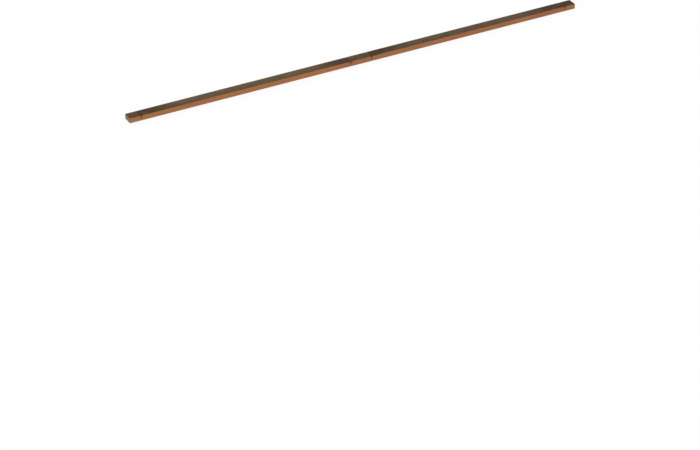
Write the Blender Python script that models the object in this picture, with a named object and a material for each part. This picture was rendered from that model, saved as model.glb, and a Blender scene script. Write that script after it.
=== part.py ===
"""A flat copper busbar: one length of drawn 20 x 10 mm bar, lying on its wide face.

The bar has rounded long edges, and its sawn ends are deburred. Four narrow grooves run round it. They
mark off a contact land at each end and a third one at mid-length, where clamps and terminals sit.

Frame: metres, +X along the bar, +Y across its width, +Z up. The origin is the middle of the underside.
"""

import math

import bmesh
import bpy

MM = 0.001

# The bar itself
BAR_LENGTH = 940 * MM
BAR_WIDTH = 20 * MM
BAR_THICKNESS = 10 * MM
EDGE_RADIUS = 0.5 * MM
END_CHAMFER = 0.4 * MM

# The contact lands: from an end face to the middle of its groove, and between the two middle grooves
END_LAND = 23 * MM
CENTRE_LAND = 44 * MM

# A groove: the flat strip at its root, the run of each sloping side, and how deep it is cut
GROOVE_ROOT = 0.4 * MM
GROOVE_SLOPE = 0.4 * MM
GROOVE_DEPTH = 0.5 * MM

COPPER_FINISH = {
    "Base Color": (0.352, 0.150, 0.066, 1.0),
    "Metallic": 1.0,
    "Roughness": 0.38,
}

STEPS_PER_CORNER = 8
SHARP_ANGLE = math.radians(30)


def clear_scene():
    for obj in list(bpy.data.objects):
        bpy.data.objects.remove(obj, do_unlink=True)


def section_points(inset):
    """The bar's section as (y, z) points, each side drawn in by inset and each corner of the same radius."""
    across = BAR_WIDTH / 2 - inset - EDGE_RADIUS
    upward = BAR_THICKNESS / 2 - inset - EDGE_RADIUS
    corners = ((across, upward), (-across, upward), (-across, -upward), (across, -upward))
    points = []
    for quarter, (centre_y, centre_z) in enumerate(corners):
        for step in range(STEPS_PER_CORNER + 1):
            angle = (quarter + step / STEPS_PER_CORNER) * math.pi / 2
            y = centre_y + EDGE_RADIUS * math.cos(angle)
            z = centre_z + EDGE_RADIUS * math.sin(angle)
            points.append((y, z + BAR_THICKNESS / 2))
    return points


def groove_stations(middle):
    """The (x, inset) pairs of one groove: lip, root, root and lip."""
    root = GROOVE_ROOT / 2
    lip = root + GROOVE_SLOPE
    return [
        (middle - lip, 0.0),
        (middle - root, GROOVE_DEPTH),
        (middle + root, GROOVE_DEPTH),
        (middle + lip, 0.0),
    ]


def bar_stations():
    """Every (x, inset) pair at which the section changes, from one end of the bar to the other."""
    end = BAR_LENGTH / 2
    grooves = (-end + END_LAND, -CENTRE_LAND / 2, CENTRE_LAND / 2, end - END_LAND)
    stations = [(-end, END_CHAMFER), (-end + END_CHAMFER, 0.0)]
    for middle in grooves:
        stations += groove_stations(middle)
    return stations + [(end - END_CHAMFER, 0.0), (end, END_CHAMFER)]


def add_section(bm, x, inset):
    """The section at x, as a closed loop of edges."""
    corners = [bm.verts.new((x, y, z)) for y, z in section_points(inset)]
    following = corners[1:] + corners[:1]
    return [bm.edges.new(pair) for pair in zip(corners, following)]


def copper():
    material = bpy.data.materials.new("drawn_copper")
    material.use_nodes = True
    shader = material.node_tree.nodes["Principled BSDF"]
    for socket, value in COPPER_FINISH.items():
        shader.inputs[socket].default_value = value
    material.diffuse_color = COPPER_FINISH["Base Color"]
    return material


def build_busbar():
    """The whole bar, lofted through its sections and closed at both ends."""
    bm = bmesh.new()
    loops = [add_section(bm, x, inset) for x, inset in bar_stations()]
    for near, far in zip(loops, loops[1:]):
        bmesh.ops.bridge_loops(bm, edges=near + far)
    for end in (loops[0], loops[-1]):
        bmesh.ops.contextual_create(bm, geom=end)
    bmesh.ops.recalc_face_normals(bm, faces=bm.faces)

    mesh = bpy.data.meshes.new("copper_busbar")
    bm.to_mesh(mesh)
    bm.free()
    mesh.materials.append(copper())
    mesh.shade_smooth()
    mesh.set_sharp_from_angle(angle=SHARP_ANGLE)
    busbar = bpy.data.objects.new("copper_busbar", mesh)
    bpy.context.scene.collection.objects.link(busbar)


clear_scene()
build_busbar()
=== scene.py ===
# %% [markdown]
# # A copper busbar
#
# A busbar is a solid copper bar that carries heavy current inside a switchboard. This one is a length of
# flat bar, 20 mm wide and 10 mm thick. A die drew it to size, a saw cut it off at both ends, and four
# narrow grooves set off the short lands where clamps and terminals sit.
#
# The lesson starts from a plain bar of the right size, which is called the frame here. It makes the shape
# first, then the finish of each face, then a plain studio round it. Lengths are in metres. +X runs along
# the bar, +Y across it, and +Z up.

import math

import bmesh
import bpy
from mathutils import Color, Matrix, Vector, noise
from mathutils.geometry import delaunay_2d_cdt


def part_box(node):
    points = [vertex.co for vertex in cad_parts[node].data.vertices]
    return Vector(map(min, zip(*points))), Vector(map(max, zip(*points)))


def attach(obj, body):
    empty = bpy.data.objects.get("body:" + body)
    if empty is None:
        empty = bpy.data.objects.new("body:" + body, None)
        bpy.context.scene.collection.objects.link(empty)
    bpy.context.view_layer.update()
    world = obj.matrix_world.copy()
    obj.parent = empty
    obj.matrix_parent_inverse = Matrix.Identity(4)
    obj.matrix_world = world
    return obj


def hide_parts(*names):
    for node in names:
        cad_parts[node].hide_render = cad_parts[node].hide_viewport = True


MM = 0.001

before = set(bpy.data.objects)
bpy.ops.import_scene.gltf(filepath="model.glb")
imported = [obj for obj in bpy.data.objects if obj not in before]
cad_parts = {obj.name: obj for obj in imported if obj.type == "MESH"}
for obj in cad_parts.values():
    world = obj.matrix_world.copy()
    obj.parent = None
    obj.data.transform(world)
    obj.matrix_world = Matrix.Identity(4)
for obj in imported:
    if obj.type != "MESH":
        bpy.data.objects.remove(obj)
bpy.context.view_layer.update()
low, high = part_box("copper_busbar")
length, width, thickness = high - low
print(f"The bar is {length / MM:.1f} x {width / MM:.1f} x {thickness / MM:.1f} mm")

# %% [markdown]
# ## Measure the frame
#
# The plain bar in the frame already has the right size. Copying its sizes by hand would work until
# somebody changed them, so the finer bar below reads them from the plain one instead. Two things say it
# all: the radius of the long edges, and the stations, which are the places along the bar where its
# section changes, each with the depth that is cut away there.

# %% Read the edge radius, the stations and the grooves
HAIR = 0.001 * MM  # places closer than this count as the same
STATION_DECIMALS = 5  # of a metre

plain_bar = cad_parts["copper_busbar"].data


def stations_of(mesh):
    """The (x, inset) pairs of a lofted bar. The inset is how far its top lies below full height."""
    tops = {}
    for vertex in mesh.vertices:
        x = round(vertex.co.x, STATION_DECIMALS)
        tops[x] = max(tops.get(x, low.z), vertex.co.z)
    return [Vector((x, high.z - top)) for x, top in sorted(tops.items())]


flat_reach = max(abs(vertex.co.y) for vertex in plain_bar.vertices if high.z - vertex.co.z < HAIR)
edge_radius = width / 2 - flat_reach

stations = stations_of(plain_bar)
roots = [x for x, inset in stations[1:-1] if inset > HAIR]
grooves = [(left + right) / 2 for left, right in zip(roots[::2], roots[1::2])]
groove_depth = max(inset for x, inset in stations[1:-1])
print(f"Edge radius {edge_radius / MM:.2f} mm, grooves {groove_depth / MM:.2f} mm deep at",
      [round(x / MM, 1) for x in grooves])

# %% [markdown]
# ## Ease the profile
#
# Seen from the side, the frame's profile turns its corners dead sharp, at the lip and the root of each
# groove and at the filed ends. A real tool leaves a corner with a tiny radius, and that radius is what
# catches the light. A Bevel modifier could round them, but it would touch the long edges too. Each corner
# of the profile is swapped for a short curve instead, which is exact and stays where we put it.

# %% Round each corner of the profile
EASE_REACH = 0.12 * MM
EASE_STEPS = 4


def eased(profile):
    """The same profile with every inner corner drawn as a small curve."""
    points = [profile[0]]
    for before, corner, after in zip(profile, profile[1:], profile[2:]):
        start = corner + (before - corner).normalized() * EASE_REACH
        end = corner + (after - corner).normalized() * EASE_REACH
        for step in range(EASE_STEPS + 1):
            t = step / EASE_STEPS
            points.append(start.lerp(corner, t).lerp(corner.lerp(end, t), t))
    return points + [profile[-1]]


print(f"{len(stations)} stations in the frame, {len(eased(stations))} with the corners eased")

# %% [markdown]
# ## Add stations where nothing changes
#
# A face that spans the whole bar would be flat enough, but smooth shading spreads the tilt of a rounded
# corner over the face next to it. A holding station close to each corner stops that. The stations between
# them carry two things that do change slowly: the waviness of the drawn skin, and how far it has darkened.

# %% Fill the long runs
HOLD = 0.25 * MM
LONGEST_STEP = 6 * MM


def filled(points):
    """Adds stations so that none is far from the next, with a holding one at each end of a long run."""
    result = []
    for start, end in zip(points, points[1:]):
        result.append(start)
        run = end.x - start.x
        if run > LONGEST_STEP:
            count = math.ceil(run / LONGEST_STEP)
            result.append(start.lerp(end, HOLD / run))
            result += [start.lerp(end, step / count) for step in range(1, count)]
            result.append(start.lerp(end, 1 - HOLD / run))
    return result + [points[-1]]


fine_stations = filled(eased(stations))
print(f"{len(fine_stations)} stations in the finer bar")

# %% [markdown]
# ## Draw the section
#
# The die gives the bar its section, a rectangle with rounded corners. A bevelled rectangle would do for one
# size, but in a groove the same outline is drawn in, so a function works it out from the sizes. It walks
# once round: an arc at each corner, then the flat to the next corner, with a holding point near both ends
# of the flat for the same reason as before. Each point keeps the direction in which its surface faces,
# which the next step needs.

# %% The section's outline
ARC_STEPS = 10
FLAT_PIECES = (6, 3)  # columns on a wide face and on a narrow one


def section(inset):
    """(point, facing) pairs round the section, in the YZ plane, with each side drawn in by inset."""
    across = width / 2 - inset - edge_radius
    upward = thickness / 2 - inset - edge_radius
    centres = ((across, upward), (-across, upward), (-across, -upward), (across, -upward))
    middle = Vector((0, low.z + thickness / 2))
    pairs = []
    for quarter, centre in enumerate(centres):
        for step in range(ARC_STEPS + 1):
            angle = (quarter + step / ARC_STEPS) * math.pi / 2
            facing = Vector((math.cos(angle), math.sin(angle)))
            pairs.append((middle + Vector(centre) + facing * edge_radius, facing))
        corner, facing = pairs[-1]
        along = Vector((-facing.y, facing.x))
        span = 2 * (upward if quarter % 2 else across)
        pieces = FLAT_PIECES[quarter % 2]
        for distance in (HOLD, *(span * step / pieces for step in range(1, pieces)), span - HOLD):
            pairs.append((corner + along * distance, facing))
    return pairs


print(f"{len(section(0))} points round the section")

# %% [markdown]
# ## Let the skin wander
#
# A drawn bar is straight and flat to a few hundredths of a millimetre, and never better. Perfectly flat
# faces would reflect like glass. A Displace modifier could make them wander once the bar is built. Doing it
# as the points are made is shorter, and makes sure that a point only ever sinks, by a small and slowly
# changing amount, which keeps the bar inside its real size.

# %% The drawn skin's waviness
WAVE_DEPTH = 0.03 * MM
WAVES_PER_METRE = Vector((9, 70, 70))


def wave(point):
    """How far the skin lies below true at a point."""
    return WAVE_DEPTH * (0.5 + 0.5 * noise.noise(point * WAVES_PER_METRE))


sinks = [wave(Vector((x, 0, high.z))) for x, inset in fine_stations]
print(f"The middle of the top lies {min(sinks) / MM:.3f} to {max(sinks) / MM:.3f} mm below true")

# %% [markdown]
# ## Where the bar has darkened
#
# The wide faces are painted darker in some places along the bar than in others, partly tarnish and partly
# painted shade. They are darkest right beside the grooves, and clear up over some 100 mm into the long
# spans. The lands lie between the two, apart from the right one, which is as dark as it gets. The
# right-hand span is a shade darker all over. An image map could hold this, but one number for each station
# says as much, and the mesh can carry it. At 0 the face is clear and at 1 it is dark. A little more than 1
# leaves no light patches either.

# %% Painted shade and tarnish along the bar
# Painted shade, partly tarnish: how dark the wide faces are painted beside a groove, on the lands and
# mid-span.
SHADE_AND_TARNISH_FADE = 100 * MM
GROOVE_SHADE_AND_TARNISH = (0.90, 0.86, 0.96, 1.25)
LAND_SHADE_AND_TARNISH = {"left": 0.61, "centre": 0.57, "right": 1.20}
SPAN_SHADE_AND_TARNISH = {"left": 0.18, "right": 0.42}


def shade_and_tarnish_at(x):
    """How much tarnish and painted shade darken the wide faces at x."""
    left_end, left_middle, right_middle, right_end = grooves
    if x <= left_end:
        return LAND_SHADE_AND_TARNISH["left"]
    if left_middle <= x <= right_middle:
        return LAND_SHADE_AND_TARNISH["centre"]
    if x >= right_end:
        return LAND_SHADE_AND_TARNISH["right"]
    least = SPAN_SHADE_AND_TARNISH["left" if x < left_middle else "right"]
    away, most = min((abs(x - groove), most) for groove, most in zip(grooves, GROOVE_SHADE_AND_TARNISH))
    t = min(1.0, away / SHADE_AND_TARNISH_FADE)
    return most + (least - most) * t * t * (3 - 2 * t)


print("Tarnish at a groove, 60 mm away and mid-span:",
      [round(shade_and_tarnish_at(grooves[0] + away), 2) for away in (HAIR, 60 * MM, 200 * MM)])

# %% [markdown]
# ## Plan a picture of the surface
#
# The finish below is worked out by nodes, but a game or a web page needs it as a picture, and a picture is
# square. Unrolled, the bar is a ribbon sixteen times as long as it is wide. Stretched over the square it
# would smear along its length, so the ribbon is cut into four lengths that lie one above the other, with
# the two sawn ends in the strip that is left over. Each cut follows a station, so that no face crosses
# it. Nothing is laid mirrored, or its relief would be lit from the wrong side. The map is called OFBake,
# because the export looks for one of that name.

# %% Four lengths of ribbon in a square
LENGTHS = 4
MARGIN = 0.004
END_STRIP = 0.1
PITCH = (1 - END_STRIP) / LENGTHS

outline = [point for point, facing in section(0)]
walk = [0.0]
for point, following in zip(outline, outline[1:] + outline[:1]):
    walk.append(walk[-1] + (following - point).length)

fair_cuts = [low.x + length * part / LENGTHS for part in range(LENGTHS + 1)]
cuts = [min((station.x for station in fine_stations), key=lambda x: abs(x - fair)) for fair in fair_cuts]


def ribbon_place(x, middle_x, walked):
    """Where a point of the skin lies in the square. middle_x is the middle of its face."""
    part = sum(middle_x > cut for cut in cuts[1:-1])
    share = (x - cuts[part]) / (cuts[part + 1] - cuts[part])
    return (
        MARGIN + share * (1 - 2 * MARGIN),
        (part + 1) * PITCH - MARGIN - walked / walk[-1] * (PITCH - 2 * MARGIN),
    )


print(f"The ribbon is {walk[-1] / MM:.1f} mm wide, cut at", [round(cut / MM) for cut in cuts])

# %% [markdown]
# ## Loft the bar
#
# A loft is a row of sections with skin between them. Blender can bridge loops of edges by itself. Making
# the faces one by one takes as few lines, and leaves each ring of points in hand for what they have to
# carry: how far they have darkened, how deep in a groove they lie, and where a file or a saw has been.

# %% Skin over the sections
bar = bmesh.new()
shade_and_tarnish = bar.verts.layers.float.new("shade_and_tarnish")
groove = bar.verts.layers.float.new("groove")
filed = bar.verts.layers.float.new("filed")
sawn = bar.verts.layers.float.new("sawn")
bite = bar.verts.layers.float.new("bite")
picture = bar.loops.layers.uv.new("OFBake")


def add_ring(x, inset):
    """One section as points of the bar."""
    at_end = min(x - low.x, high.x - x) < stations[1].x - low.x
    ring = []
    for (y, z), facing in section(inset):
        place = Vector((x, y, z))
        vertex = bar.verts.new(place - Vector((0, *facing)) * wave(place))
        vertex[shade_and_tarnish] = shade_and_tarnish_at(x)
        vertex[groove] = 0.0 if at_end else inset / groove_depth
        vertex[filed] = at_end
        ring.append(vertex)
    return ring


def add_skin(near, far, near_x, far_x):
    """A band of faces between two rings, each with its place in the picture."""
    for i in range(len(near)):
        j = (i + 1) % len(near)
        face = bar.faces.new((near[i], far[i], far[j], near[j]))
        corners = ((near_x, walk[i]), (far_x, walk[i]), (far_x, walk[i + 1]), (near_x, walk[i + 1]))
        for corner, (x, walked) in zip(face.loops, corners):
            corner[picture].uv = ribbon_place(x, (near_x + far_x) / 2, walked)


rings = [add_ring(x, inset) for x, inset in fine_stations]
for i in range(len(rings) - 1):
    add_skin(rings[i], rings[i + 1], fine_stations[i].x, fine_stations[i + 1].x)
print(f"{len(bar.faces)} faces of skin")

# %% [markdown]
# ## The saw's arcs
#
# A circular saw leaves a row of shallow arcs, one for each tooth's bite, struck from the blade's centre.
# The blade moves on a little from one bite to the next, but on a face this small the arcs may as well share
# one centre. No two bites are quite alike. The arcs could be a bump in the material, but an end is looked
# at from close by, so here they are real. How deep the saw went follows from the distance to the centre: a
# sine for the row of bites, and noise for what differs between them.

# %% How deep the saw went
BLADE_CENTRE = Vector((35 * MM, 130 * MM))  # from the middle of the end face
SAW_FEED = 0.45 * MM
SAW_DEPTH = 0.04 * MM
RHYTHM, UNEVENNESS = 0.38, 0.45  # of the depth
UNEVEN_PER_BITE, UNEVEN_PER_RADIAN = 0.7, 12


def saw_bite(away, turn):
    """How deep the saw went, from 0 to 1, at a distance and an angle from the blade's centre."""
    bites = away / SAW_FEED
    uneven = noise.noise(Vector((bites * UNEVEN_PER_BITE, turn * UNEVEN_PER_RADIAN, 0)))
    return min(1.0, max(0.0, 0.5 + RHYTHM * math.sin(math.tau * bites) + UNEVENNESS * uneven))


def from_blade(y, z):
    """Distance and angle of a point of an end face from the blade's centre."""
    arm = Vector((y, z - thickness / 2)) - BLADE_CENTRE
    return arm.length, math.atan2(arm.y, arm.x)


middle_away, middle_turn = from_blade(0, thickness / 2)
across_a_bite = [saw_bite(middle_away + quarter * SAW_FEED / 4, middle_turn) for quarter in range(5)]
print("Depth across one bite, from 0 to 1:", [round(depth, 2) for depth in across_a_bite])

# %% [markdown]
# ## Points to fill an end with
#
# An end face needs far more points than its outline has, and a square grid of them would show as steps in
# the arcs. So the points lie along the arcs themselves, four rows to a bite. Those that fall outside the
# outline, or too near it, are dropped. Near the rounded corners that takes a test of its own, which
# measures how far a point lies beyond the corner's centre.

# %% Points along the arcs
ROW_GAP, COLUMN_GAP = SAW_FEED / 4, 0.8 * MM
RIM = 0.1 * MM


def inside(y, z, inset):
    """Whether a point lies in the section drawn in by inset."""
    beyond = Vector((
        max(0.0, abs(y) - (width / 2 - inset - edge_radius)),
        max(0.0, abs(z - thickness / 2) - (thickness / 2 - inset - edge_radius)),
    ))
    return beyond.length < edge_radius


def steps_within(reach, gap):
    """The numbers of whole gaps that fit into reach, backwards and forwards."""
    most = int(reach / gap)
    return range(-most, most + 1)


def points_on_arcs(inset):
    """Points along the saw's arcs, as far as they lie inside the rim."""
    reach = math.hypot(width, thickness) / 2
    points = []
    for row in steps_within(reach, ROW_GAP):
        away = middle_away + row * ROW_GAP
        for column in steps_within(reach, COLUMN_GAP):
            turn = middle_turn + column * COLUMN_GAP / middle_away
            y = BLADE_CENTRE.x + away * math.cos(turn)
            z = BLADE_CENTRE.y + away * math.sin(turn) + thickness / 2
            if inside(y, z, inset + RIM):
                points.append(Vector((y, z)))
    return points


end_inset = stations[0].y
print(f"{len(points_on_arcs(end_inset))} points on an end face")

# %% [markdown]
# ## Close the ends
#
# A single face could close an end, but it would have no points inside to push in. Blender can join an
# outline and loose points up into triangles, whatever the outline is. Then each point is pushed in as deep
# as the saw went there. The depth is kept on the point as well, because the crests and the valleys are
# finished differently.

# %% Close and mark an end
END_SCALE = (END_STRIP - 2 * MARGIN) / thickness  # of the picture, per metre of an end face
KEEP_INSIDE = 1  # tells Blender to keep the triangles inside the outline


def saw_end(ring, inset, outward):
    """Closes the ring with a sawn face. outward is -1 at the left end and 1 at the right."""
    points = [Vector((vertex.co.y, vertex.co.z)) for vertex in ring] + points_on_arcs(inset)
    rim = list(range(len(ring)))
    found, _, triangles, sources, *_ = delaunay_2d_cdt(points, [], [rim], KEEP_INSIDE, HAIR)
    corners = []
    for (y, z), source in zip(found, sources):
        on_rim = source and source[0] < len(ring)
        vertex = ring[source[0]] if on_rim else bar.verts.new((outward * length / 2, y, z))
        vertex[bite] = saw_bite(*from_blade(y, z))
        vertex[sawn] = 1.0
        vertex.co.x -= outward * vertex[bite] * SAW_DEPTH
        corners.append(vertex)
    aside = MARGIN if outward < 0 else width * END_SCALE + 2 * MARGIN
    for triangle in triangles:
        face = bar.faces.new([corners[i] for i in triangle])
        for corner in face.loops:
            y, z = corner.vert.co.yz
            corner[picture].uv = aside + (width / 2 - outward * y) * END_SCALE, 1 - MARGIN - z * END_SCALE
    return len(triangles)


print("Triangles in the sawn ends:", saw_end(rings[0], end_inset, -1), saw_end(rings[-1], end_inset, 1))

# %% [markdown]
# ## Turn it into an object
#
# Flat shading would show every facet of the rounded edges. The surface is shaded smooth instead, except
# where it turns by more than 30 degrees, at the rim of each sawn face. The finer bar stands in for the
# frame's plain one, which is hidden, and it is attached to the body called root.

# %% The finished bar
SHARP_TURN = math.radians(30)


def placed(name, data):
    """A new object in the scene."""
    thing = bpy.data.objects.new(name, data)
    bpy.context.scene.collection.objects.link(thing)
    return thing


bmesh.ops.recalc_face_normals(bar, faces=bar.faces)
bar_mesh = bpy.data.meshes.new("drawn_bar")
bar.to_mesh(bar_mesh)
bar.free()
bar_mesh.shade_smooth()
bar_mesh.set_sharp_from_angle(angle=SHARP_TURN)

drawn_bar = placed("drawn_bar", bar_mesh)
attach(drawn_bar, "root")
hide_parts("copper_busbar")
print(f"{len(bar_mesh.vertices)} points, {len(bar_mesh.polygons)} faces")

# %% [markdown]
# ## One metal, four finishes
#
# The whole bar is the same copper. What differs is each face's finish: the wide faces are brown, partly
# oxide and partly painted shade, as if they mirrored something dark, the narrow ones are bright copper,
# the ends were sawn, and the grooves hold dirt. Four materials would meet in hard lines, so there is one,
# and each finish is a layer in it. A node takes several lines to make, so a few helpers write them
# briefly. They name a socket by its identifier, which is unique even where two sockets share a name.

# %% Helpers that add nodes
def start_nodes(owner):
    """Gives a material or a sky an empty tree of nodes."""
    owner.use_nodes = True
    owner.node_tree.nodes.clear()
    return owner.node_tree


def add(kind, values=None, **settings):
    """Adds a node to the tree in hand. A socket among the values is linked, and anything else is set."""
    node = tree.nodes.new("ShaderNode" + kind)
    for name, setting in settings.items():
        setattr(node, name, setting)
    sockets = {socket.identifier: socket for socket in node.inputs}
    for name, value in (values or {}).items():
        if isinstance(value, bpy.types.NodeSocket):
            tree.links.new(value, sockets[name])
        else:
            sockets[name].default_value = value
    return node


def out(node, identifier):
    """One output of a node."""
    return next(socket for socket in node.outputs if socket.identifier == identifier)


aged_copper = bpy.data.materials.new("aged_copper")
tree = start_nodes(aged_copper)
print(f"{aged_copper.name} starts with {len(tree.nodes)} nodes")

# %% [markdown]
# ## What a material can know
#
# Everything that is laid on the bar has to know where it is. Object coordinates give the place in metres,
# along, across and above, and their normal tells a wide face from a narrow one. What a place alone can't
# tell, such as the depth in a groove, comes from the numbers that the mesh carries.

# %% Where each point lies, which way it faces and what it carries
def carried(name):
    """A number that the mesh carries."""
    return out(add("Attribute", attribute_name=name), "Fac")


here = add("TexCoord")
place = out(here, "Object")
position = add("SeparateXYZ", {"Vector": place})
along, across, above = (out(position, axis) for axis in "XYZ")
facing = add("SeparateXYZ", {"Vector": out(here, "Normal")})
shaded_and_tarnished, in_groove, was_filed, was_sawn = map(carried, ("shade_and_tarnish", "groove", "filed", "sawn"))
print(f"{len(tree.nodes)} nodes find the place, the facing and four of the numbers that the mesh carries")

# %% [markdown]
# ## Reckon with shares
#
# Each finish is laid on by a share, a number from 0 to 1 at every point of the bar. One share times another
# says where both hold, such as a scratch and a wide face, and the larger of the two says where either does.
# A Math node works out one such step, and a page of them would be hard to read. So the next helpers write
# a step as a word.

# %% Sums made of Math nodes
def reckon(operation, *numbers):
    """The result of a Math node."""
    return out(add("Math", dict(zip(("Value", "Value_001"), numbers)), operation=operation), "Value")


def times(value, factor):
    """One value times another."""
    return reckon("MULTIPLY", value, factor)


def rest(share):
    """What a share leaves of 1."""
    return reckon("SUBTRACT", 1.0, share)


def total(first, *others):
    """The sum of several values."""
    for other in others:
        first = reckon("ADD", first, other)
    return first


def mixed(first, second, share):
    """Two values in one, of which the second makes up a share."""
    return total(times(first, 1 - share), times(second, share))


level = reckon("ABSOLUTE", out(facing, "Z"))
print(f"Node {len(tree.nodes)} is 1 on a level wide face and 0 on a narrow one")

# %% [markdown]
# ## Noise at its true size
#
# Nothing on a used bar is even, and noise is what makes it uneven. The Noise texture has one scale for all
# directions, so a helper stretches the place first. It is told how many patches there are to the metre
# along, across and above, and so every grain below is written at its true size. Noise also keeps close to
# one half, so another helper draws it out to the full range.

# %% Noise, and how it is drawn out
def mottle(per_metre, detail=3.0, coarseness=0.55, at=place):
    """Noise from 0 to 1, with that many patches to the metre along X, Y and Z."""
    stretched = add("VectorMath", {"Vector": at, "Vector_001": per_metre}, operation="MULTIPLY")
    values = {"Vector": out(stretched, "Vector"), "Scale": 1.0, "Detail": detail, "Roughness": coarseness}
    return out(add("TexNoise", values), "Fac")


def ramp(value, start, end, first=0.0, last=1.0):
    """Eases from first, where value is start, to last, where it is end."""
    values = {"Value": value, "From Min": start, "From Max": end, "To Min": first, "To Max": last}
    return out(add("MapRange", values, interpolation_type="SMOOTHSTEP"), "Result")


def contrast(value, spread=0.2):
    """Draws what lies within spread of one half out to the full range from 0 to 1."""
    return ramp(value, 0.5 - spread, 0.5 + spread)


EXAMPLE = 200
print(f"With {EXAMPLE} patches to the metre, each is about {1 / EXAMPLE / MM:.0f} mm across")

# %% [markdown]
# ## The drawing lines
#
# Grit in the die scores the bar from end to end with fine lines. A Wave texture could draw lines, but they
# would be too much alike. These are noise, stretched until a patch of it is two thousand times longer than
# it is wide. Two sizes together look less even than one. The same lines serve three times: they tint the
# colour, vary the roughness and raise the bump.

# %% Long fine lines
FINE_GRAIN = (2.5, 5000.0, 5000.0)  # to the metre along, across and above
BROAD_GRAIN = (1.2, 900.0, 900.0)
BROAD_SHARE = 0.2

fine_lines = contrast(mottle(FINE_GRAIN, detail=2.0))
broad_lines = contrast(mottle(BROAD_GRAIN))
lines = mixed(fine_lines, broad_lines, BROAD_SHARE)
grain_length, grain_width = 1 / FINE_GRAIN[0] / MM, 1 / FINE_GRAIN[1] / MM
print(f"The finest lines are about {grain_length:.0f} mm long and {grain_width:.1f} mm wide")

# %% [markdown]
# ## The scratches
#
# A bar that has been carried about has a few straight, fine scratches that run nearly along it. They could
# be painted on an image one by one, but the peaks of stretched noise are just such thin, tapering lines.
# Turning the noise a little sets them askew. It has to turn about the axis that a face is square to, so
# the wide and the narrow faces get scratches of their own. A second, coarser noise keeps them to some
# places and leaves others clean.

# %% Thin scratches
SCRATCH_GRAIN = (10.0, 5500.0, 5500.0)
SCRATCH_PEAK = (0.74, 0.77)  # the noise at which a scratch begins, and at which it is all there
SCRATCHED_AREAS = (20.0, 60.0, 60.0)
AREA_PEAK = (0.50, 0.62)
WIDE_FACE_TURNS = (4.0, -7.0)  # degrees askew
NARROW_FACE_TURN = 3.0
FACES_MEET = (0.6, 0.8)  # how level the skin is where a narrow face gives way to a wide one

scratched_areas = ramp(mottle(SCRATCHED_AREAS), *AREA_PEAK)
wide_face = ramp(level, *FACES_MEET)


def scratches(axis, degrees):
    """1 along thin scratches on the faces square to the axis, and 0 between them."""
    values = {"Vector": place, "Angle": math.radians(degrees)}
    turned = out(add("VectorRotate", values, rotation_type=axis), "Vector")
    return times(ramp(mottle(SCRATCH_GRAIN, detail=0.0, at=turned), *SCRATCH_PEAK), scratched_areas)


scratched_wide = reckon("MAXIMUM", *(scratches("Z_AXIS", degrees) for degrees in WIDE_FACE_TURNS))
scratched_narrow = scratches("Y_AXIS", NARROW_FACE_TURN)
scratched = reckon("MAXIMUM", times(scratched_wide, wide_face), times(scratched_narrow, rest(wide_face)))
print(f"A scratch is up to about {1 / SCRATCH_GRAIN[0] / MM:.0f} mm long")

# %% [markdown]
# ## The specks
#
# A speck is where a drop of something stood and dried. Noise would give clouds, not specks. A cell texture
# cuts space into cells, each with a random colour and the distance to its centre. The colour draws lots for
# which cells hold a speck, and how large it is, and noise makes its edge uneven. Most cells stay empty.

# %% Small specks
SPECKS_PER_METRE = 150.0
EMPTY_CELLS = 0.75
LARGEST_SPECK, SPECK_RAGGEDNESS, SPECK_SOFTNESS = 0.16, 0.12, 0.06  # of a cell
SPECK_GRAIN = (900.0, 900.0, 900.0)

cell = add("TexVoronoi", {"Vector": place, "Scale": SPECKS_PER_METRE})
luck = out(add("SeparateColor", {"Color": out(cell, "Color")}), "Red")
speck_size = ramp(luck, EMPTY_CELLS, 1.0, 0.0, LARGEST_SPECK)
from_centre = total(out(cell, "Distance"), times(mottle(SPECK_GRAIN), SPECK_RAGGEDNESS))
specks = ramp(reckon("SUBTRACT", from_centre, speck_size), 0.0, SPECK_SOFTNESS, 1.0, 0.0)
print(f"The cells are about {1 / SPECKS_PER_METRE / MM:.1f} mm apart")

# %% [markdown]
# ## Lay one colour over another
#
# Each layer of the finish is a colour and a share, which says how much of it shows at each point. A Mix
# node lays it over what is there already. Colours are written as light, from 0 to 1, which is not how a
# picture stores them, so a second helper turns one into the red, green and blue that a viewer would show.

# %% Helpers for colours
def blend(share, under, over):
    """One colour laid over another by a share from 0 to 1."""
    values = {"Factor_Float": share, "A_Color": under, "B_Color": over}
    return out(add("Mix", values, data_type="RGBA"), "Result_Color")


def as_shown(colour):
    """A colour as red, green and blue from 0 to 255."""
    return tuple(round(255 * channel) for channel in Color(colour[:3]).from_scene_linear_to_srgb())


HALF_LIGHT = (0.5, 0.5, 0.5)
print("Half of all light is shown as", as_shown(HALF_LIGHT))

# %% [markdown]
# ## The bright narrow faces
#
# The narrow faces are orange copper, under a thin film that dulls it in soft patches, some the size of a
# thumb and some as long as a hand. One flat colour would look like paint, so the copper itself leans to
# red in one place and to yellow in another, and the film lies over it. Toward the right end the film is a
# little thicker.

# %% Bright copper
BRIGHT_RED = (0.447, 0.156, 0.085, 1.0)
BRIGHT_YELLOW = (0.408, 0.198, 0.066, 1.0)
FRESH_COPPER = (0.560, 0.240, 0.125, 1.0)
FILMED_COPPER = (0.325, 0.125, 0.053, 1.0)
SPECK_BROWN = (0.130, 0.052, 0.026, 1.0)
HUE_PATCHES = (24.0, 60.0, 60.0)
THUMB_PATCHES = (22.0, 90.0, 90.0)
HAND_PATCHES = (7.0, 15.0, 15.0)
LINES_IN_FILM = 0.25
HAND_FILM = 0.09
FILM_TO_THE_RIGHT = (-0.03, 0.16)  # what is added at the middle of the bar, and at its right end

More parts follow.
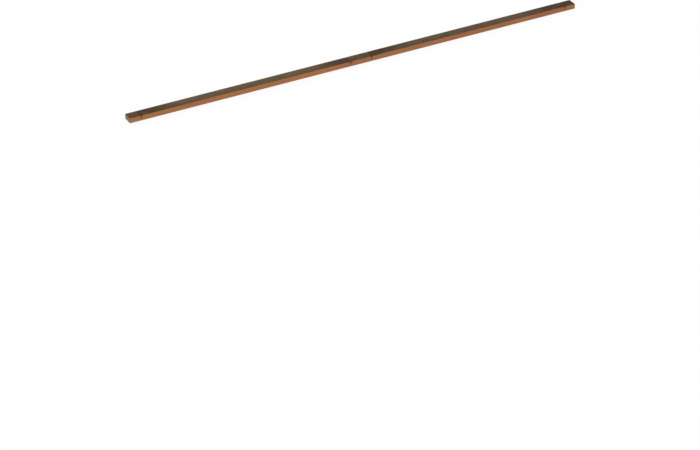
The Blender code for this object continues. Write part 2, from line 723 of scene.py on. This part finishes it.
thumb_film = mixed(mottle(THUMB_PATCHES, detail=9.0, coarseness=0.65), lines, LINES_IN_FILM)
right_film = ramp(along, 0.0, length / 2, *FILM_TO_THE_RIGHT)
hand_film = ramp(mottle(HAND_PATCHES), 0.3, 0.7, -HAND_FILM, HAND_FILM)
film = contrast(total(thumb_film, right_film, hand_film), 0.4)

bright = blend(contrast(mottle(HUE_PATCHES), 0.15), BRIGHT_RED, BRIGHT_YELLOW)
bright = blend(film, bright, FILMED_COPPER)
bright = blend(times(specks, 0.6), bright, SPECK_BROWN)
bright = blend(times(scratched, 0.6), bright, FRESH_COPPER)
print("Bright copper and filmed copper, as shown:", as_shown(BRIGHT_RED), as_shown(FILMED_COPPER))

# %% [markdown]
# ## The brown wide faces
#
# Air turns copper into brown oxide, and the thicker the oxide, the darker and greyer it looks. The brown
# here is partly that oxide and partly painted shade, which darkens the wide faces as a dark reflection
# would. The mesh says how dark they are painted at each station. That alone would look sprayed on, so
# patches and drawing lines shift it a little either way, and the faces are a little darker toward the
# front edge.

# %% Brown oxide and painted shade
THIN_BROWN = (0.139, 0.076, 0.036, 1.0)
THIN_OLIVE = (0.110, 0.085, 0.040, 1.0)
THICK_OXIDE_AND_SHADE = (0.040, 0.018, 0.003, 1.0)
OXIDE_PATCHES = (70.0, 110.0, 110.0)
OLIVE_PATCHES = (18.0, 45.0, 45.0)
LINES_IN_OXIDE = 0.13
FRONT_DARKENING = (-0.2, 0.24)  # what is added along the back, and along the front

patches = mottle(OXIDE_PATCHES, detail=10.0, coarseness=0.66)
shift = reckon("SUBTRACT", mixed(patches, lines, LINES_IN_OXIDE), 0.5)
front_darkening = times(ramp(across, width / 2, -width / 2, *FRONT_DARKENING), rest(shaded_and_tarnished))
depth = total(shaded_and_tarnished, shift, front_darkening, times(specks, 0.25))
brown = blend(contrast(mottle(OLIVE_PATCHES), 0.1), THIN_BROWN, THIN_OLIVE)
# Painted shade, partly thick oxide: where the number is high, the wide faces are painted near black-brown.
brown = blend(depth, brown, THICK_OXIDE_AND_SHADE)
print("Thin oxide and thick oxide, as shown:", as_shown(THIN_BROWN), as_shown(THICK_OXIDE_AND_SHADE))

# %% [markdown]
# ## Where the oxide has worn through, and painted edge highlights
#
# A scratch cuts through the oxide and shows fresh copper as a thin line. Along each long edge the wide
# faces are painted lighter with half dulled copper, partly wear from rubbing on other bars in the rack and
# partly a painted highlight on the rounded edge. A Bevel node can find the edges of any shape, at a cost
# for every ray. On a plain bar the distance from the middle says as much. The band is strongest on the
# last millimetre before the rounding and breaks up into the face.

# %% Bare copper on the wide faces
WORN_AND_HIGHLIT_COPPER = (0.230, 0.110, 0.056, 1.0)
WEAR_AND_HIGHLIGHT_REACH = 2.0 * MM
WEAR_AND_HIGHLIGHT_GRAIN = (70.0, 500.0, 500.0)
WEAR_AND_HIGHLIGHT_PEAK = (1.42, 1.62)

near_edge = ramp(reckon("ABSOLUTE", across), width / 2 - WEAR_AND_HIGHLIGHT_REACH, width / 2 - edge_radius)
worn_and_highlit = ramp(total(near_edge, mottle(WEAR_AND_HIGHLIGHT_GRAIN, detail=5.0)), *WEAR_AND_HIGHLIGHT_PEAK)
# Painted highlight, partly worn copper: a lighter band along the long edges.
brown = blend(times(worn_and_highlit, 0.8), brown, WORN_AND_HIGHLIT_COPPER)
brown = blend(times(scratched, 0.4), brown, FRESH_COPPER)
print("Worn copper, as shown:", as_shown(WORN_AND_HIGHLIT_COPPER))

# %% [markdown]
# ## Join the two along the rounded edges
#
# The brown reaches a little way round the edge and gives way to bright copper as the surface turns
# further from level. This split by facing is painted shade: the level faces get the dark brown, partly
# oxide and partly a painted dark reflection. A clean line at the edge would look painted, so ragged noise
# nudges it up and down. The filed rim of an end has lost its oxide and painted shade altogether.

# %% Wide faces brown, narrow faces bright
ALL_BROWN, ALL_BRIGHT = math.radians(45), math.radians(63)
RAGGED_GRAIN = (160.0, 500.0, 500.0)
RAGGEDNESS = 0.5

ragged = times(reckon("SUBTRACT", mottle(RAGGED_GRAIN), 0.5), RAGGEDNESS)
# Painted shade and oxide: the more level a face, the more of the dark brown it gets.
oxide_and_shade = ramp(total(level, ragged), math.cos(ALL_BRIGHT), math.cos(ALL_BROWN))
oxide_and_shade = times(oxide_and_shade, rest(was_filed))
colour = blend(oxide_and_shade, bright, brown)
oxide_ends = [round(edge_radius * turn / MM, 2) for turn in (ALL_BROWN, ALL_BRIGHT)]
print("The oxide ends between these distances round the edge, in mm:", oxide_ends)

# %% [markdown]
# ## The sawn ends
#
# Freshly sawn copper is pale, and dulls to a greyish brown. The crests between the saw's bites are
# painted paler than the valleys, partly dust that stays in the valleys and partly painted light and shade
# on the relief. Their very tops are painted bright, partly the blade's smear and partly a painted glint.
# Each tooth also leaves lines finer than the mesh could hold. They are noise of the distance from the
# blade's centre, so they run along with the modelled arcs.

# %% Sawn ends
SAWN_CREST = (0.240, 0.151, 0.086, 1.0)
SAWN_VALLEY = (0.136, 0.090, 0.051, 1.0)
SMEARED_AND_GLINTING_COPPER = (0.470, 0.250, 0.150, 1.0)
TOOTH_GRAIN = (7000.0, 60.0, 1.0)  # to the metre away from the blade's centre, across and along
SMEAR_AND_GLINT_GRAIN = (7000.0, 40.0, 1.0)
DUST_GRAIN = (400.0, 250.0, 250.0)
SMEAR_AND_GLINT_DEPTHS = (0.40, 0.85)  # bite and noise together, where the smear is full and where it ends
SMEAR_AND_GLINT_SHARE = 0.45

blade_place = (0.0, BLADE_CENTRE.x, BLADE_CENTRE.y + thickness / 2)
flattened = add("VectorMath", {"Vector": place, "Vector_001": (0.0, 1.0, 1.0)}, operation="MULTIPLY")
values = {"Vector": out(flattened, "Vector"), "Vector_001": blade_place}
away = out(add("VectorMath", values, operation="DISTANCE"), "Value")
tooth_place = out(add("CombineXYZ", {"X": away, "Y": across, "Z": along}), "Vector")

bitten = carried("bite")
tooth_lines = contrast(mottle(TOOTH_GRAIN, detail=2.0, at=tooth_place))
dust = mottle(DUST_GRAIN, detail=5.0)
cut = total(times(bitten, 0.5), times(tooth_lines, 0.25), times(dust, 0.25))
smear_and_glint = total(bitten, mottle(SMEAR_AND_GLINT_GRAIN, detail=0.0, at=tooth_place))
smeared_and_glinting = ramp(smear_and_glint, *SMEAR_AND_GLINT_DEPTHS, SMEAR_AND_GLINT_SHARE, 0.0)
# Painted light and shade, partly dust: pale crests and darker valleys on the saw's relief.
sawn_copper = blend(contrast(cut, 0.3), SAWN_CREST, SAWN_VALLEY)
# Painted glint, partly smeared copper: bright tops of the crests.
sawn_copper = blend(smeared_and_glinting, sawn_copper, SMEARED_AND_GLINTING_COPPER)
colour = blend(was_sawn, colour, sawn_copper)
print(f"The tooth lines are about {1 / TOOTH_GRAIN[0] / MM:.2f} mm apart")
print("Valley, crest and smeared copper, as shown:",
      as_shown(SAWN_VALLEY), as_shown(SAWN_CREST), as_shown(SMEARED_AND_GLINTING_COPPER))

# %% [markdown]
# ## Darker copper beside the grooves
#
# The bright copper beside each groove is painted darker, most of all toward the upper edge. How far a
# point lies from the nearest groove is the smallest of four distances, which Math nodes can tell without
# the mesh carrying anything more.

# %% Darker copper beside the grooves
COPPER_BESIDE_GROOVE = (0.220, 0.071, 0.032, 1.0)
GROOVE_DARKENING_REACH = 3.5 * MM
# Shares of the thickness where the darkening beside a groove begins, and where it is full.
GROOVE_DARKENING_RISE = (0.3, 0.85)  # of the thickness: where the stain begins, and where it is full

from_groove = length
for x in grooves:
    from_groove = reckon("MINIMUM", from_groove, reckon("ABSOLUTE", reckon("SUBTRACT", along, x)))
beside_groove = ramp(total(from_groove, times(ragged, GROOVE_DARKENING_REACH)), 0.0, GROOVE_DARKENING_REACH, 1.0, 0.0)
high_up = ramp(above, *(low.z + share * thickness for share in GROOVE_DARKENING_RISE))
# Darker beside each groove, more toward the top, and only on the bright faces.
darker_beside_groove = times(times(beside_groove, high_up), rest(oxide_and_shade))
colour = blend(darker_beside_groove, colour, COPPER_BESIDE_GROOVE)
print(f"The stain reaches {GROOVE_DARKENING_REACH / MM:.1f} mm, and its colour as shown is", as_shown(COPPER_BESIDE_GROOVE))

# %% [markdown]
# ## Dirt in the grooves
#
# Dirt fills the grooves, which read as thin dark lines across the wide faces. It could be a dark material
# on the faces of the groove, but then every lip would be a ruled line. The depth that the mesh carries,
# broken up by noise, gives it a soft and uneven edge. On the narrow faces the dirt is painted fainter
# toward the bottom.

# %% Dark grooves
GROOVE_DIRT = (0.066, 0.034, 0.021, 1.0)
DIRT_GRAIN = (900.0, 250.0, 250.0)
# On the narrow faces the dirt fades toward the bottom, between these shares of the thickness.
DIRT_RISE = (0.1, 0.8)  # of the thickness: where the wiping was hardest, and where it ends
FAINTEST_DIRT = 0.1
CAKED = (0.1, 0.8)  # depth and noise together, where the dirt begins and where it is thick
LIP = 0.2  # of the depth, and no dirt gets out over it

caked = total(in_groove, reckon("SUBTRACT", mottle(DIRT_GRAIN, detail=5.0), 0.5))
dirt = times(ramp(caked, *CAKED), ramp(in_groove, 0.0, LIP))
fuller_toward_top = ramp(above, *(low.z + share * thickness for share in DIRT_RISE), FAINTEST_DIRT, 1.0)
dirt = times(dirt, reckon("MAXIMUM", oxide_and_shade, fuller_toward_top))
colour = blend(dirt, colour, GROOVE_DIRT)
print("Dirt, as shown:", as_shown(GROOVE_DIRT))

# %% [markdown]
# ## Gloss and relief
#
# Oxide scatters light more than bare metal does, so the wide faces are duller than the narrow ones, and
# the dirt in a groove is duller still. Smudges from hands change the gloss where they leave the colour
# alone. Drawing lines cut into the mesh would take millions of faces, so they are a bump of about a
# hundredth of a millimetre, and a scratch goes in as deep. The metallic value is the same all over, so it
# is set on the shader itself.

# %% The finished material
BRIGHT_ROUGHNESS, OXIDE_ROUGHNESS = 0.34, 0.46
LINE_ROUGHNESS, SMUDGE_ROUGHNESS, SCRATCH_SHINE = 0.12, 0.05, 0.08
DIRT_ROUGHNESS, SAWN_ROUGHNESS = 0.25, 0.12
SMUDGES = (45.0, 90.0, 90.0)
RELIEF = 0.012 * MM

roughness = total(
    ramp(oxide_and_shade, 0.0, 1.0, BRIGHT_ROUGHNESS, OXIDE_ROUGHNESS),
    times(reckon("SUBTRACT", lines, 0.5), LINE_ROUGHNESS),
    ramp(mottle(SMUDGES), 0.35, 0.65, -SMUDGE_ROUGHNESS, SMUDGE_ROUGHNESS),
    times(scratched, -SCRATCH_SHINE),
    times(dirt, DIRT_ROUGHNESS),
    times(was_sawn, SAWN_ROUGHNESS),
)
height = reckon("SUBTRACT", lines, scratched)
relief = add("Bump", {"Height": height, "Strength": 1.0, "Distance": RELIEF})
surface = add("BsdfPrincipled", {
    "Base Color": colour,
    "Metallic": 1.0,
    "Roughness": roughness,
    "Normal": out(relief, "Normal"),
})
add("OutputMaterial", {"Surface": out(surface, "BSDF")})
bar_mesh.materials.append(aged_copper)
print(f"{len(tree.nodes)} nodes in {aged_copper.name}")

# %% [markdown]
# ## A pale floor
#
# The bar lies on a plain white floor with no visible edge. A curved backdrop would hide the edge from one
# side only, so the floor is a flat sheet, large enough for every view. It lies a hair below the bar,
# because two surfaces in the same place would show through each other.

# %% A sheet under the bar
FLOOR_SIZE = 60.0
FLOOR_DROP = 0.1 * MM

half = FLOOR_SIZE / 2
floor_mesh = bpy.data.meshes.new("pale_floor")
corners = [(-half, -half, 0), (half, -half, 0), (half, half, 0), (-half, half, 0)]
floor_mesh.from_pydata(corners, [], [(0, 1, 2, 3)])
pale_floor = placed("pale_floor", floor_mesh)
pale_floor.location.z = low.z - FLOOR_DROP
print(f"Floor {FLOOR_SIZE:.0f} m across, {FLOOR_DROP / MM:.1f} mm below the bar")

# %% [markdown]
# ## Paint for the floor
#
# Lit like the bar, a white floor falls just short of white, and the bar's shadow on it is too strong for a
# studio with light all round. More lamps would wash out the copper. So the paint also shines by itself, but
# only for rays from the camera and for reflections, which leaves the floor white and the shadow faint. For
# all other rays it is an ordinary matt surface.

# %% Paint that shines for the eye alone
FLOOR_WHITE = (0.97, 0.97, 0.97, 1.0)
FLOOR_OWN_LIGHT = 0.8
WHITE = (1.0, 1.0, 1.0, 1.0)


def seen_directly():
    """1 for rays from the camera and for reflections, otherwise 0."""
    rays = add("LightPath")
    eye = reckon("MAXIMUM", out(rays, "Is Camera Ray"), out(rays, "Is Glossy Ray"))
    return reckon("MAXIMUM", eye, out(rays, "Is Transmission Ray"))


floor_paint = bpy.data.materials.new("floor_paint")
tree = start_nodes(floor_paint)
matt = add("BsdfDiffuse", {"Color": FLOOR_WHITE})
own_light = add("Emission", {"Color": WHITE, "Strength": 1.0})
shaders = {"Shader": out(matt, "BSDF"), "Shader_001": out(own_light, "Emission")}
paint = add("MixShader", {"Fac": times(seen_directly(), FLOOR_OWN_LIGHT), **shaders})
add("OutputMaterial", {"Surface": out(paint, "Shader")})
floor_mesh.materials.append(floor_paint)
print("Floor paint, as shown:", as_shown(FLOOR_WHITE))

# %% [markdown]
# ## Soft light
#
# Most of the light comes evenly from the whole sky, as in a tent of white cloth. A very broad sun, up on
# the left, adds a little more and gives the bar a soft shadow. An area lamp could do that too, but its
# light would fall off along the bar. Together they light a level surface to about 1, so that each colour
# renders close to how it was written. Seen directly or in the metal, the sky is plain white.

# %% Sky and sun
SKY_STRENGTH = 0.8
SUN_PLACE = Vector((-2.2, -1.6, 2.6))
SUN_BREADTH = math.radians(60)
SUN_STRENGTH = 1.0


def look_along(thing, direction):
    """Turns a lamp or a camera so that it looks in a direction."""
    thing.rotation_mode = "QUATERNION"
    thing.rotation_quaternion = direction.to_track_quat("-Z", "Y")


sky = bpy.data.worlds.new("white_tent")
bpy.context.scene.world = sky
tree = start_nodes(sky)
strength = ramp(seen_directly(), 0.0, 1.0, SKY_STRENGTH, 1.0)
background = add("Background", {"Color": WHITE, "Strength": strength})
add("OutputWorld", {"Surface": out(background, "Background")})

sun_data = bpy.data.lights.new("broad_sun", "SUN")
sun_data.angle = SUN_BREADTH
sun_data.energy = SUN_STRENGTH
broad_sun = placed("broad_sun", sun_data)
broad_sun.location = SUN_PLACE
look_along(broad_sun, -SUN_PLACE)
sun_share = SUN_STRENGTH / math.pi * SUN_PLACE.normalized().z
print(f"A level surface gets {SKY_STRENGTH + sun_share:.2f}")

# %% [markdown]
# ## The camera
#
# The camera stands in front of the bar's left end and well above it, and looks past its near side at a
# spot on the floor, so the bar crosses the top of the picture. A short lens close by would make the near
# end look far larger than the other. A long lens from more than four metres keeps the two long edges
# almost parallel.

# %% Camera
AZIMUTH = math.radians(-28.69)
ELEVATION = math.radians(31.64)
AIM = Vector((-0.2920, -0.4995, 0.0))
AIM_DISTANCE = 4.2645
PICTURE_WIDTH = 700
FOCAL_PIXELS = 2564
SENSOR_WIDTH = 36.0

back = Vector((
    math.sin(AZIMUTH) * math.cos(ELEVATION),
    -math.cos(AZIMUTH) * math.cos(ELEVATION),
    math.sin(ELEVATION),
))
camera_data = bpy.data.cameras.new("camera")
camera_data.sensor_width = SENSOR_WIDTH
camera_data.lens = SENSOR_WIDTH * FOCAL_PIXELS / PICTURE_WIDTH
camera = placed("camera", camera_data)
camera.location = AIM + back * AIM_DISTANCE
look_along(camera, -back)
bpy.context.scene.camera = camera
bpy.context.scene.view_settings.view_transform = "Standard"
print(f"Lens {camera_data.lens:.1f} mm, camera at {[round(x, 3) for x in camera.location]}")
